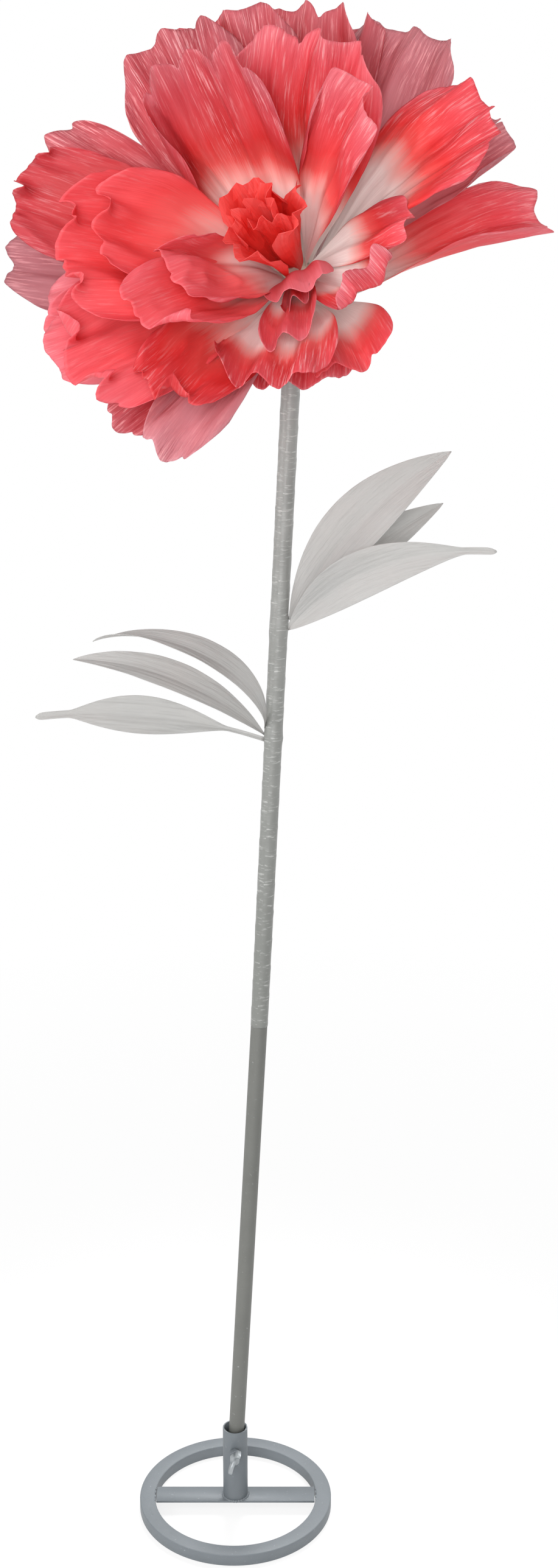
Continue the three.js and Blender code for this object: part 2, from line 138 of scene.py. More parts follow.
# Creases of a petal that has no folds in its row: how many, where they lie and how sharp they are
FOLDED_WIDTH = 120
WIDE_FOLDS = 6
NARROW_FOLDS = 4
FOLD_SPREAD = 0.8
FOLD_SCATTER = 0.12
FOLD_SHARES = (0.3, 1.0)
FOLD_SOFTNESS = (0.018, 0.05)

# Shift of a sheet's pattern for each seed, start of the dye on its scale, and its lead at a petal's sides
SHEET_SHIFT = (0.37, 0.73)
DYE_START = 0.25
DYE_SIDES = 0.08

# Petals in millimetres and degrees. Clock is the direction seen from the front, and tilt leans it forwards.
# Rise is the height of the foot on the block, seat its gap there, and seat_clock the side where it sits if
# that is another one. Roll turns the petal about its run, bend arches it back, cup hollows it, and ruffle
# waves its edge. White is how far the undyed foot reaches, pale how washed out the dye is, fade how much it
# changes along the petal, tone how little painted shade darkens the dye, and crinkle how crinkled the rim is
# and how much painted glint and painted shade lie on it.
# Lip is how far the edge curls back, tab how far short pieces of it are rolled over, lobe a lobe's width,
# nick how deep the notches are, crease how sharp the lengthwise folds are, and crimp how wavy the rim is.
# Pleat, crumple and dent are heights of the uneven surface, and rim is how far folds open out there.
# Folds are lengthwise: place across the petal, angle towards the inner face, softness. Flap is spare width
# on the left that a fold lays over the petal. Turned is an edge rolled back: angle, start and softness.
OUTER_RING = dict(
    rise=-12, roll=-12, bend=22, cup=14, ruffle=9, foot=0.08, seat=0.5, white=0.4, pale=0.22,
    lip=8, tab=0, lobe=52, nick=0.9, crease=62, crimp=1.2, pleat=1.5, crumple=1.6, dent=5, flap=0.0,
    turned=None, crinkle=1.6, fade=0.75, tone=0.68, rim=0.0, cells=(80, 56),
)
OUTER_PETALS = [
    dict(clock=-18, tilt=-4, length=273, width=170),
    dict(clock=0, tilt=-8, length=275, width=150, rise=-16, pale=0.3),
    dict(clock=23, tilt=-13, length=278, width=190, rise=-20, pale=0.55, crinkle=2.2, tone=0.8),
    dict(clock=50, tilt=-7, length=256, width=108, rise=-22, pale=0.55, tone=0.85),
    dict(
        clock=70.5, seat_clock=135, seat=4.1, tilt=-5, length=258, width=116, rise=-24, cup=84, ruffle=3,
        nick=0.15, crease=20, crimp=0.8, white=0.4, pale=0.1, lip=20, tone=0.88, crinkle=1.4,
    ),
    dict(
        clock=141, tilt=63.4, length=154, width=112, roll=-18, white=0.66, pale=0.12, crinkle=0.4, tone=0.95,
        fade=0.42, folds=[(-0.3, 14, 0.1), (0.2, -12, 0.08), (0.74, 115, 0.05)],
    ),
    dict(clock=191, tilt=62, length=147, width=128, rise=-18, white=0.6, pale=0.1, tone=0.85),
    dict(clock=226.5, tilt=45, length=266, width=84, rise=-18, pale=0.9, nick=0.3, tone=1.0),
    dict(clock=238, tilt=31, length=252, width=66, rise=-18, roll=-24, pale=0.2),
    dict(clock=258.5, tilt=12, length=263, width=118, roll=-15, pale=0.1, crinkle=0.4, tone=0.95),
    dict(clock=262, tilt=1, length=262, width=120, rise=-16, pale=0.2, crinkle=0.4, tone=0.95),
    dict(
        clock=277, tilt=-12, length=316, width=130, rise=-22, ruffle=3, pale=0.95, nick=0, crimp=0.8,
        crinkle=1.0, tone=0.54, folds=[(-0.55, 12, 0.2), (0.0, -30, 0.03), (0.5, 14, 0.2)],
    ),
    dict(
        clock=289, tilt=-2, length=304, width=122, ruffle=6, pale=0.0, fade=0.5, nick=0.1, crease=34,
        crimp=1.0, crinkle=0.4, tab=-110, tone=0.62,
    ),
    dict(clock=298.5, tilt=-18, length=318, width=92, rise=-22, pale=0.42, nick=0.3, crinkle=2.0),
    dict(clock=330, tilt=-3, length=280, width=150, crinkle=2.2),
    dict(clock=13, tilt=-16, length=280, width=74, rise=-20, pale=0.3),
]
MIDDLE_RING = dict(
    rise=4, roll=-10, bend=20, cup=24, ruffle=9, foot=0.08, seat=0.5, white=0.47, pale=0.0,
    lip=8, tab=0, lobe=48, nick=0.8, crease=62, crimp=2.0, pleat=1.5, crumple=1.6, dent=5, flap=0.0,
    turned=None, crinkle=1.2, fade=0.75, tone=0.86, rim=0.0, cells=(88, 60),
)
MIDDLE_PETALS = [
    dict(
        clock=-25.5, tilt=18, length=252, width=174, flap=0.7, tone=0.64,
        folds=[
            (-0.94, 150, 0.025), (-0.2, -40, 0.03), (0.1, 64, 0.02),
            (0.25, -56, 0.02), (0.6, 50, 0.02), (0.7, -40, 0.03),
        ],
    ),
    dict(
        clock=2, tilt=16, length=244, width=190, rise=0,
        folds=[
            (-0.5, 50, 0.02), (-0.3, -60, 0.02), (0.0, 56, 0.02),
            (0.15, -64, 0.02), (0.4, 50, 0.02), (0.6, -44, 0.03),
        ],
    ),
    dict(clock=47.5, tilt=13, length=251, width=146, rise=1, white=0.58, fade=0.6, tone=0.94),
    dict(
        clock=281, tilt=27, length=258, width=168, rise=8, nick=0.3, crease=30, crinkle=0.25, fade=0.42,
        tab=-110, lip=4, dent=9, tone=0.96, pale=0.1,
    ),
    dict(
        clock=252, tilt=30.2, length=268, width=160, nick=0.6, crease=44, crinkle=0.35, fade=0.55, tab=-130,
        lip=6, dent=9, tone=1.0, pale=0.16,
    ),
    dict(
        clock=235, tilt=47.3, length=236, width=114, crinkle=0.4, tab=-120, crease=40, fade=0.34,
        tone=0.76,
    ),
    dict(clock=202, tilt=66, length=190, width=132, white=0.7, fade=0.5, pale=0.1),
]
INNER_RING = dict(
    rise=20, roll=-10, bend=14, cup=34, ruffle=7, foot=0.1, seat=0.5, white=0.42, pale=0.05,
    lip=10, tab=0, lobe=46, nick=0.6, crease=50, crimp=1.8, pleat=1.2, crumple=1.6, dent=4, flap=0.0,
    turned=None, crinkle=1.0, fade=0.75, tone=0.9, rim=0.0, cells=(80, 56),
)
INNER_PETALS = [
    dict(
        clock=18, tilt=38, length=232, width=110, roll=-15, flap=0.3, tone=0.8,
        folds=[(-0.92, 140, 0.03), (-0.2, 18, 0.05), (0.4, -24, 0.05)],
    ),
    dict(
        clock=289, tilt=31, length=230, width=130, rise=16, nick=0.2, crease=16, crinkle=0.2, fade=0.36,
        lip=0, dent=8, tone=0.97, pale=0.1, tab=-60,
    ),
    dict(
        clock=280, tilt=52, length=190, width=120, rise=24, nick=0.9, pale=0.2, crinkle=0.5, lip=4, dent=8,
        tone=1.0, crumple=3.0, fade=0.5,
        folds=[(-0.62, 84, 0.04), (-0.3, -60, 0.05), (0.1, -50, 0.06), (0.45, 120, 0.07)],
    ),
    dict(
        clock=340, tilt=77, length=110, width=76, rise=22, cup=-6, ruffle=5, nick=0.3, crease=30,
        white=-0.6, pale=0.2, crinkle=0.2, lip=10, tone=1.0, turned=(24, 0.45, 0.15),
    ),
    dict(
        clock=264, tilt=53, length=240, width=110, nick=0.5, crease=30, white=0.38, crinkle=0.35, fade=0.5,
        lip=4, tab=-130, dent=9, tone=1.0, pale=0.16,
    ),
    dict(clock=96, tilt=57, length=150, width=90, white=0.6, turned=(-125, 0.84, 0.02)),
    dict(clock=62, tilt=37, length=150, width=64, white=0.56, fade=0.6),
    dict(
        clock=191, tilt=75, length=150, width=80, rise=17, white=0.5, fade=0.7, dent=2, pale=0.16,
        folds=[(-0.5, 48, 0.06), (0.1, -60, 0.06), (0.6, 56, 0.06)],
    ),
    dict(
        clock=176, tilt=84, length=105, width=44, white=0.2, dent=2, pale=0.36,
        folds=[(-0.4, 40, 0.08), (0.3, -50, 0.08)],
    ),
]
# Core: two rings of three narrow petals, opened by a few degrees from the flower's axis
CORE_COMMON = dict(
    length=115, waves=3, foot=0.16, seat=1.0, white=-0.3, pale=0.0, lip=30, tab=0, lobe=20, nick=1.8,
    crease=60, crimp=4.0, pleat=0.8, crumple=3.0, dent=8, flap=0.0, turned=None, crinkle=0.3, fade=0.75,
    tone=1.0, rim=0.0, cells=(13, 9),
)
CORE_RINGS = [
    dict(rise=34, open=7, start=20, width=52, cup=44, ruffle=4, bend=2, roll=-25),
    dict(rise=27, open=17, start=80, width=80, cup=56, ruffle=5, bend=8, roll=-14),
]
CORE_PER_RING = 3

# Leaves in millimetres and degrees: height of the foot on the pole, bow is the sideways arch, fold the
# crease along the midrib, and stalk, start, end, tail and peak give the outline along the blade
LEAF_COMMON = dict(
    tilt=0, roll=0, bend=20, bow=0, fold=20, twist=0, stalk=0.06, start=0.0, end=1.0, tail=0.06, peak=1.0,
    facing=(0, -1, 0.35), cells=(40, 72),
)
LEAF_FULLNESS = 0.85
LEAF_TIP = 0.035
LEAF_BLUNT = 0.06
LEAF_WAVE = 2.6
LEAF_SEED = 60
VEIN_HEIGHT = 0.3
VEIN_PITCH = 2.2
MIDRIB_SOFTNESS = 0.001
LEAVES = dict(
    leaf_right_upper=dict(
        height=1194, clock=42, tilt=6, length=266, width=70, bow=-17, bend=16, roll=-12,
    ),
    leaf_right_middle=dict(height=1196, clock=53, tilt=-2, length=216, width=48, bow=-8, bend=10),
    leaf_right_lower=dict(
        height=1184, clock=65, tilt=17, length=262, width=56, bow=-30, bend=18, roll=10,
        end=0.88, tail=0.16, peak=0.9,
    ),
    leaf_left_upper=dict(
        height=1066, clock=299, tilt=5, length=283, width=42, bend=135, twist=-60, facing=(0, -0.6, 0.75),
    ),
    leaf_left_middle=dict(
        height=1057, clock=290, tilt=-8, length=252, width=44, bend=66, facing=(0, -0.55, 0.8),
    ),
    leaf_left_lower=dict(
        height=1052, clock=277, tilt=4, length=264, width=46, bend=10, bow=14,
        stalk=0.12, start=0.16, end=0.86, tail=0.2, peak=1.15,
    ),
)


def srgb(red, green, blue):
    """Linear colour, with alpha, of an sRGB colour from 0 to 255."""
    def linear(level):
        level = level / 255
        return level / 12.92 if level <= 0.04045 else ((level + 0.055) / 1.055) ** 2.4
    return (linear(red), linear(green), linear(blue), 1.0)


class Value:
    """A number on a shader socket, for maths written as expressions."""

    def __init__(self, finish, socket):
        self.finish = finish
        self.socket = socket

    def maths(self, operation, first, second):
        return self.finish.node("ShaderNodeMath", {"operation": operation}, {0: first, 1: second})

    def __add__(self, other):
        return self.maths("ADD", self, other)

    def __radd__(self, other):
        return self.maths("ADD", other, self)

    def __sub__(self, other):
        return self.maths("SUBTRACT", self, other)

    def __rsub__(self, other):
        return self.maths("SUBTRACT", other, self)

    def __mul__(self, other):
        return self.maths("MULTIPLY", self, other)

    def __rmul__(self, other):
        return self.maths("MULTIPLY", other, self)

    def __abs__(self):
        return self.finish.node("ShaderNodeMath", {"operation": "ABSOLUTE"}, {0: self})


class Finish:
    """Nodes of a material, or of the world, that are put together piece by piece."""

    def __init__(self, owner):
        self.owner = owner
        self.owner.use_nodes = True
        self.tree = self.owner.node_tree
        self.tree.nodes.clear()

    def node(self, kind, settings=None, inputs=None, out=0):
        """Adds a node: its settings first, then the values or links of its sockets. Gives one output."""
        made = self.tree.nodes.new(kind)
        for name, value in (settings or {}).items():
            if name == "stops":
                set_stops(made.color_ramp, value)
            else:
                setattr(made, name, value)
        for key, value in (inputs or {}).items():
            if isinstance(value, Value):
                self.tree.links.new(value.socket, made.inputs[key])
            else:
                made.inputs[key].default_value = value
        return Value(self, made.outputs[out]) if made.outputs else None

    def uv(self, name):
        return self.node("ShaderNodeUVMap", {"uv_map": name})

    def stretched(self, vector, factors):
        return self.node("ShaderNodeVectorMath", {"operation": "MULTIPLY"}, {0: vector, 1: factors})

    def cloud(self, vector, scale, detail=2.0, roughness=0.5):
        return self.node("ShaderNodeTexNoise", None, {
            "Vector": vector, "Scale": scale, "Detail": detail, "Roughness": roughness})

    def streaks(self, sheet, across, along, detail=2.0, roughness=0.5):
        """Noise stretched over a sheet of paper, with a number of waves per metre across and along it."""
        return self.cloud(self.stretched(sheet, (across, along, 1)), 1.0, detail, roughness)

    def place(self):
        return self.node("ShaderNodeTexCoord", None, None, out="Object")

    def split(self, vector, axis):
        return self.node("ShaderNodeSeparateXYZ", None, {0: vector}, out=axis)

    def ranged(self, value, low, high, start, end):
        """Number that goes from start to end while a value goes from low to high."""
        return self.node("ShaderNodeMapRange", None, {0: value, 1: low, 2: high, 3: start, 4: end})

    def bump(self, height, strength, distance):
        return self.node("ShaderNodeBump", None, {
            "Strength": strength, "Distance": distance, "Height": height})

    def face(self, colour, roughness, normal, fixed=None):
        """Surface with its colour, roughness and bumps, and other sockets at fixed values."""
        return self.node("ShaderNodeBsdfPrincipled", None, {
            "Base Color": colour, "Roughness": roughness, "Normal": normal, **(fixed or {})})

    def mixed(self, factor, first, second, kind="MIX"):
        return self.node("ShaderNodeMix", {"data_type": "RGBA", "blend_type": kind}, {
            0: factor, 6: first, 7: second}, out=2)

    def output(self, shader, kind="ShaderNodeOutputMaterial"):
        self.node(kind, None, {"Surface": shader})
        return self.owner


def new_finish(name):
    return Finish(bpy.data.materials.new(name))


def set_stops(ramp, stops):
    """Sets a ramp's stops, each a position and a colour."""
    while len(ramp.elements) < len(stops):
        ramp.elements.new(0.5)
    for element, (position, colour) in zip(ramp.elements, stops):
        element.position = position
        element.color = colour


# Dye of the petals, from the undyed foot through red to the washed-out edge, then painted shade, the
# threads' colour and the painted rim glint laid over it
CORAL_DYE = [
    (0.00, srgb(252, 248, 243)), (0.12, srgb(251, 242, 236)), (0.23, srgb(245, 186, 178)),
    (0.36, srgb(248, 90, 86)), (0.48, srgb(247, 61, 62)), (0.66, srgb(249, 84, 92)),
    (0.84, srgb(250, 107, 120)), (1.00, srgb(250, 142, 155)),
]
FADED_DYE = [
    (0.00, srgb(248, 242, 235)), (0.15, srgb(246, 226, 220)), (0.32, srgb(238, 150, 150)),
    (0.50, srgb(238, 116, 122)), (0.75, srgb(236, 142, 152)), (1.00, srgb(234, 172, 180)),
]
RED_DYE = [
    (0.00, srgb(250, 64, 54)), (0.50, srgb(252, 68, 58)), (0.85, srgb(252, 82, 74)),
    (1.00, srgb(252, 112, 108)),
]
WASHED_DYE = srgb(226, 166, 175)
# Painted shade over the dye, thread colour that also paints shade in the hollows, and a painted rim glint
PAINTED_SHADE = srgb(20, 0, 2)
THREAD_AND_PAINTED_HOLLOW_SHADE = srgb(206, 160, 166)
PAINTED_RIM_GLINT = srgb(253, 198, 202)
FADED_FROM = 0.5

# Light that shines through each paper, the largest share of it, and the paper's gloss
CORAL_THROUGH = srgb(244, 96, 98)
FADED_THROUGH = srgb(232, 140, 148)
RED_THROUGH = srgb(246, 60, 50)
LEAF_THROUGH = srgb(222, 220, 217)
PETAL_SHARE = 0.42
LEAF_SHARE = 0.36
PAPER_GLOSS = {"Specular IOR Level": 0.35}
TAPE_GLOSS = {"Specular IOR Level": 0.7}
ZINC_METAL = {"Metallic": 0.75}

# Grain of the papers: waves per metre across and along the sheet, detail and roughness of the noise
CREPE_FIBRE = dict(across=900, along=18, detail=3.0, roughness=0.6)
CREPE_STREAK = dict(across=470, along=26, detail=5.0, roughness=0.65)
DYE_PATCH = dict(across=24, along=5)
RIM_RUMPLE = dict(across=22, along=12)
BROAD_CRINKLE = dict(across=170, along=12, detail=3.0, roughness=0.6)
FINE_CRINKLE = dict(across=800, along=26, detail=4.0, roughness=0.6)
LEAF_STREAK = dict(across=420, along=12, detail=4.0, roughness=0.6)
TAPE_CREASE = dict(across=55, along=330, detail=4.0, roughness=0.65)
CRINKLE_HEIGHT = 0.003
LEAF_CRINKLE = 0.55

# Plain colours of the leaves, the wound tape, the painted stand, the screw and the block. The leaf's crease
# shade and the tape's low shade and glints are painted light
LEAF_WARM, LEAF_COOL = srgb(186, 183, 181), srgb(177, 180, 180)
LEAF_LIGHT, LEAF_PAINTED_CREASE_SHADE = srgb(212, 211, 209), srgb(150, 148, 146)
TAPE_DARK, TAPE_PALE = srgb(120, 121, 118), srgb(150, 151, 148)
TAPE_PAINTED_SHADE, TAPE_PAINTED_GLINT = srgb(112, 114, 110), srgb(232, 232, 230)
RING_PAINT, RING_DUST = srgb(96, 102, 107), srgb(110, 116, 120)
POLE_PAINT, POLE_DUST = srgb(94, 95, 91), srgb(108, 109, 105)
RUBBED_PAINT = srgb(196, 199, 200)
PAINT_ROUGHNESS = 0.5
ZINC_DARK, ZINC_PALE = srgb(140, 146, 150), srgb(174, 178, 180)
WOOD_PALE, WOOD_DARK = srgb(232, 222, 208), srgb(214, 200, 180)


def crepe_bump(finish, sheet, amount):
    """Fine lengthwise crinkles of crepe paper, by an amount from 0 to 1 at each place."""
    broad = finish.streaks(sheet, **BROAD_CRINKLE)
    fine = finish.streaks(sheet, **FINE_CRINKLE)
    height = abs(broad - 0.5) * amount + fine * (amount * 0.3 + 0.03)
    return finish.bump(height, 1.0, CRINKLE_HEIGHT)


def translucent_paper(finish, face, through_colour, share):
    """Paper whose face reflects softly and which lets a share of the light through."""
    through = finish.node("ShaderNodeBsdfTranslucent", None, {"Color": through_colour})
    return finish.node("ShaderNodeMixShader", None, {0: share, 1: face, 2: through})


def dyed_crepe(finish, dye, dyed, washed, tone):
    """Colour of the dye, washed out all over, and darkened by painted shade where the petal is dyed."""
    colour = finish.node("ShaderNodeValToRGB", {"stops": dye}, {"Fac": dyed})
    colour = finish.mixed(washed, colour, WASHED_DYE)
    dipped = finish.ranged(dyed, 0.2, 0.4, 0.0, 1.0)
    # painted shade: the dyed part darkens by one minus the petal's tone
    return finish.mixed((1 - tone) * dipped, colour, PAINTED_SHADE)


def streaked_crepe(finish, colour, fibre, streak, rim):
    """Darker threads all over the petal, with painted shade in the hollows and painted glints towards its
    rim.
    """
    threads = finish.ranged(fibre, 0.36, 0.6, 0.2, 0.0)
    # painted shade in the crinkles' hollows near the rim
    painted_hollow_shade = finish.ranged(streak, 0.3, 0.46, 0.4, 0.0)
    # painted glint on the crinkles near the rim
    painted_glint = finish.ranged(streak, 0.52, 0.65, 0.0, 0.85)
    darker = finish.mixed(1.0, colour, THREAD_AND_PAINTED_HOLLOW_SHADE, "MULTIPLY")
    colour = finish.mixed(threads + rim * painted_hollow_shade, colour, darker)
    return finish.mixed(rim * painted_glint, colour, PAINTED_RIM_GLINT)


def petal_finish(name, dye, through):
    """Dip-dyed crepe: white foot, red heart, coral and pink towards the edge, streaked along the petal,
    darkened by painted shade, and with painted glints and painted shade in the hollows near the rim.
    """
    finish = new_finish(name)
    sheet = finish.uv("sheet")
    place = finish.uv("dye")
    pale = finish.split(place, "X")
    along = finish.split(place, "Y")
    wear = finish.uv("wear")
    crinkle = finish.split(wear, "X")
    outward = finish.split(wear, "Y")
    # tone sets how much painted shade darkens the petal
    tone = finish.split(finish.uv("tone"), "X")
    fibre = finish.streaks(sheet, **CREPE_FIBRE)
    streak = finish.streaks(sheet, **CREPE_STREAK)
    patch = finish.streaks(sheet, **DYE_PATCH)
    rumpled = finish.streaks(sheet, **RIM_RUMPLE)
    # rim: where the paper is crinkled and painted glints and painted shade lie
    rim = finish.ranged(outward + rumpled, 1.15, 1.55, 0.05, 1.0) * crinkle
    dyed = along + (fibre - 0.5) * 0.14 + (patch - 0.5) * 0.3
    colour = dyed_crepe(finish, dye, dyed, pale * (patch * 0.5 + 0.7), tone)
    colour = streaked_crepe(finish, colour, fibre, streak, rim)
    bump = crepe_bump(finish, sheet, rim)
    face = finish.face(colour, fibre * 0.25 + 0.36, bump, PAPER_GLOSS)
    share = finish.ranged(along, 0.25, 0.8, 0.0, PETAL_SHARE)
    return finish.output(translucent_paper(finish, face, through, share))


def leaf_finish():
    """White crepe with a faint warm and cool drift along the leaf, and painted shade in its creases."""
    finish = new_finish("white_crepe_leaf")
    sheet = finish.uv("sheet")
    streak = finish.streaks(sheet, **LEAF_STREAK)
    drift = finish.cloud(sheet, 14.0, 2.0)
    # painted shade in the creases of the streaks
    crease = finish.ranged(streak, 0.3, 0.42, 0.3, 0.0)
    colour = finish.mixed(drift, LEAF_WARM, LEAF_COOL)
    colour = finish.mixed(streak * 0.5, colour, LEAF_LIGHT)
    colour = finish.mixed(crease, colour, LEAF_PAINTED_CREASE_SHADE)
    bump = crepe_bump(finish, sheet, LEAF_CRINKLE)
    face = finish.face(colour, streak * 0.2 + 0.55, bump, PAPER_GLOSS)
    return finish.output(translucent_paper(finish, face, LEAF_THROUGH, LEAF_SHARE))


def wrap_finish():
    """White crepe tape, wound on tightly, with painted shade low down and painted glints on small creases
    across the stem.
    """
    finish = new_finish("white_crepe_tape")
    sheet = finish.uv("sheet")
    crease = finish.streaks(sheet, **TAPE_CREASE)
    drift = finish.cloud(sheet, 30.0, 3.0)
    # painted shade towards the stem's foot, where less light reaches
    low = finish.ranged(finish.split(sheet, "Y"), 0.1, 0.6, 1.0, 0.0)
    # painted glints on the tape's creases
    painted_glint = finish.ranged(crease, 0.56, 0.75, 0.0, 0.5)
    colour = finish.mixed(drift, TAPE_DARK, TAPE_PALE)
    colour = finish.mixed(low * 0.85, colour, TAPE_PAINTED_SHADE)
    colour = finish.mixed(painted_glint, colour, TAPE_PAINTED_GLINT)
    bump = finish.bump(crease, 0.5, 0.0012)
    return finish.output(finish.face(colour, crease * 0.2 + 0.28, bump, TAPE_GLOSS))


def paint_finish(name, colour, dusty):
    """Satin paint with a fine orange peel, dusty patches and a few lighter rubbed spots."""
    finish = new_finish(name)
    place = finish.place()
    peel = finish.cloud(place, 900.0, 2.0)
    dust = finish.cloud(place, 26.0, 5.0, 0.6)
    rub = finish.cloud(place, 240.0, 3.0, 0.7)
    spots = finish.ranged(rub, 0.66, 0.78, 0.0, 0.5)
    shade = finish.mixed(dust, colour, dusty)
    shade = finish.mixed(spots, shade, RUBBED_PAINT)
    bump = finish.bump(peel + rub * 0.5, 0.25, 0.0006)
    return finish.output(finish.face(shade, dust * 0.2 + (PAINT_ROUGHNESS - 0.1), bump))


def zinc_finish():
    """Dull zinc plate with small crystals."""
    finish = new_finish("zinc_plate")
    spangle = finish.cloud(finish.place(), 420.0, 3.0, 0.6)
    colour = finish.mixed(spangle, ZINC_DARK, ZINC_PALE)
    bump = finish.bump(spangle, 0.2, 0.0004)
    return finish.output(finish.face(colour, spangle * 0.25 + 0.3, bump, ZINC_METAL))


def wood_finish():
    """Whitewashed turned wood with a fine level grain."""
    finish = new_finish("turned_wood")
    grain = finish.cloud(finish.stretched(finish.place(), (60, 60, 320)), 1.0, 4.0, 0.6)
    colour = finish.mixed(grain, WOOD_PALE, WOOD_DARK)
    bump = finish.bump(grain, 0.3, 0.0005)
    return finish.output(finish.face(colour, grain * 0.2 + 0.55, bump))


def unit(values):
    vector = np.array(values, float)
    return vector / np.linalg.norm(vector)


def front_direction(clock, tilt):
    """Direction from its clock angle and its tilt towards the front."""
    clock, tilt = math.radians(clock), math.radians(tilt)
    return np.array([math.cos(tilt) * math.sin(clock), -math.sin(tilt), math.cos(tilt) * math.cos(clock)])


def axis_direction(opened, turn):
    """Direction opened from the flower's axis, turned round it clockwise from above."""
    opened, turn = math.radians(opened), math.radians(turn)
    above = unit(UP - FLOWER_AXIS * UP.dot(FLOWER_AXIS))
    right = np.cross(above, FLOWER_AXIS)
    level = math.cos(turn) * above + math.sin(turn) * right
    return math.cos(opened) * FLOWER_AXIS + math.sin(opened) * level


def sheet_axes(along, facing, roll):
    """Axes of a sheet that runs along a direction and faces another, rolled about itself."""
    flat = unit(facing - along * np.dot(facing, along))
    across = np.cross(along, flat)
    inner = flat * math.cos(math.radians(roll)) + across * math.sin(math.radians(roll))
    return along, inner, np.cross(along, inner)


def soft_step(x):
    """Rises softly from 0 to 1 about x = 0."""
    return 0.5 + 0.5 * np.tanh(x)


def ripple(seed, across, along):
    """Smooth noise from about -1 to 1 at each point."""
    return np.array([noise.noise(Vector((a, b, 7.31 * seed))) for a, b in zip(across, along)])


def ridges(seed, across, along):
    """Noise with sharp ridges and round hollows, from about -1 to 1 at each point."""
    return 1 - 4 * np.abs(ripple(seed, across, along))


def block_radius(rise):
    heights, radii = zip(*BLOCK_PROFILE)
    return float(np.interp(rise, heights, radii))


def cross_section(u, v, curl, folds, gate):
    """Side and height of points on a unit half-width that curls and folds across, from its slope."""
    t = v[:, None] * STEPS
    slope = curl[:, None] * t
    for place, angle, softness in folds:
        soft = softness * (1 + u[:, None] ** 3)
        turn = soft_step((t - place) / soft) - soft_step(-place / soft)
        slope = slope + math.radians(angle) * gate[:, None] * turn
    return v * np.cos(slope).mean(axis=1), v * np.sin(slope).mean(axis=1)


def midrib(s, bend, turns):
    """Forward and outward run of a midrib of unit length that bends back, with turned edges."""
    t = s[:, None] * STEPS
    angle = math.radians(bend) * (t - 0.5)
    for turn, start, softness in turns:
        angle = angle + turn[:, None] * soft_step((t - start[:, None]) / softness)
    return s * np.cos(angle).mean(axis=1), s * np.sin(angle).mean(axis=1)


def sheet_points(foot, axes, forward, outward, angle, height, side):
    """Points of a sheet from the run of its midrib, its height over it and its side, in millimetres."""
    along, inner, across = axes
    run = forward + height * np.sin(angle)
    depth = height * np.cos(angle) - outward
    return foot + MM * (np.outer(run, along) + np.outer(depth, inner) + np.outer(side, across))


def own_folds(petal):
    """Lengthwise creases of a petal that has no folds in its row, alternately forwards and back."""
    dice = np.random.default_rng(petal["seed"])
    count = WIDE_FOLDS if petal["width"] > FOLDED_WIDTH else NARROW_FOLDS
    places = np.linspace(-FOLD_SPREAD, FOLD_SPREAD, count) + dice.uniform(-FOLD_SCATTER, FOLD_SCATTER, count)
    way = 1 if dice.random() < 0.5 else -1
    folds = []
    for place in places:
        angle = way * dice.uniform(*FOLD_SHARES) * petal["crease"]
        folds.append((place, angle, dice.uniform(*FOLD_SOFTNESS)))
        way = -way
    return folds


def uneven(kind, pattern, petal, u, v):
    """Noise of a kind over a petal, with bumps of the pattern's size."""
    shift, across, along = pattern
    return kind(petal["seed"] + shift, v * petal["width"] / across, u * petal["length"] / along)


def petal_edge(petal, u, v):
    """Share of the petal's length at each point: rounded corners, notched lobes, a ragged edge."""
    seed = petal["seed"]
    inside = np.clip(v, -1, 1)
    scallop = PETAL_SCALLOP * np.cos(math.pi * (petal["waves"] + 0.5) * inside)
    corner = np.where(v < 0, FLAP_CORNER if petal["flap"] else PETAL_CORNER, PETAL_CORNER)
    rounded = CORNER_ROUND * (1 - np.sqrt(1 - inside ** 6))
    s = u * (1 - corner * np.abs(inside) ** 3 - rounded + scallop)
    lobes = petal["width"] / petal["lobe"]
    bent = v + LOBE_DRIFT * ripple(seed + 0.4, v * 2, 0 * v)
    wave = np.sin(math.pi / 2 * lobes * (bent + LOBE_PHASE * seed)) ** 2
    notch = LOBE_ROUNDNESS * (1 - wave) + (1 - LOBE_ROUNDNESS) * np.exp(-wave / NOTCH_WIDTH ** 2)
    deep = LOBE_DEPTH * petal["nick"] * (0.4 + 1.2 * ripple(seed + 0.6, v * 1.7, 0 * v))
    ragged = RAGGED_DEPTH * uneven(ripple, RAGGED_NOISE, petal, u, v)
    return s - u ** 5 * (np.maximum(deep, 0) * notch + ragged)


def edge_turns(petal, u, v):
    """Turns near a petal's edge: a hem that curls back here and there, rolled tabs, an edge turned over."""
    seed = petal["seed"]
    curl = ripple(seed + 0.5, v * 1.6, 0.4 * u)
    hem = math.radians(petal["lip"]) * np.clip(0.4 + 1.4 * curl, 0, 1)
    rolled = np.clip(5 * ripple(seed + 0.55, v * petal["width"] / TAB_WIDTH, 0.2 * u) - 0.4, 0, 1)
    tabs = math.radians(petal["tab"]) * rolled
    start = HEM_START + HEM_DRIFT * ripple(seed + 0.7, v * 2.1, 0 * u)
    turns = [(hem + tabs, start, HEM_SOFTNESS)]
    if petal["turned"]:
        angle, start, softness = petal["turned"]
        turns.append((np.full_like(u, math.radians(angle)), np.full_like(u, start), softness))
    return turns


def petal_foot(petal):
    """Place on the block where the petal's gathered foot sits."""
    outwards = unit(petal["towards"] - FLOWER_AXIS * petal["towards"].dot(FLOWER_AXIS))
    reach = block_radius(petal["rise"]) + petal["seat"]
    return FLOWER_CENTRE + MM * (petal["rise"] * FLOWER_AXIS + reach * outwards)


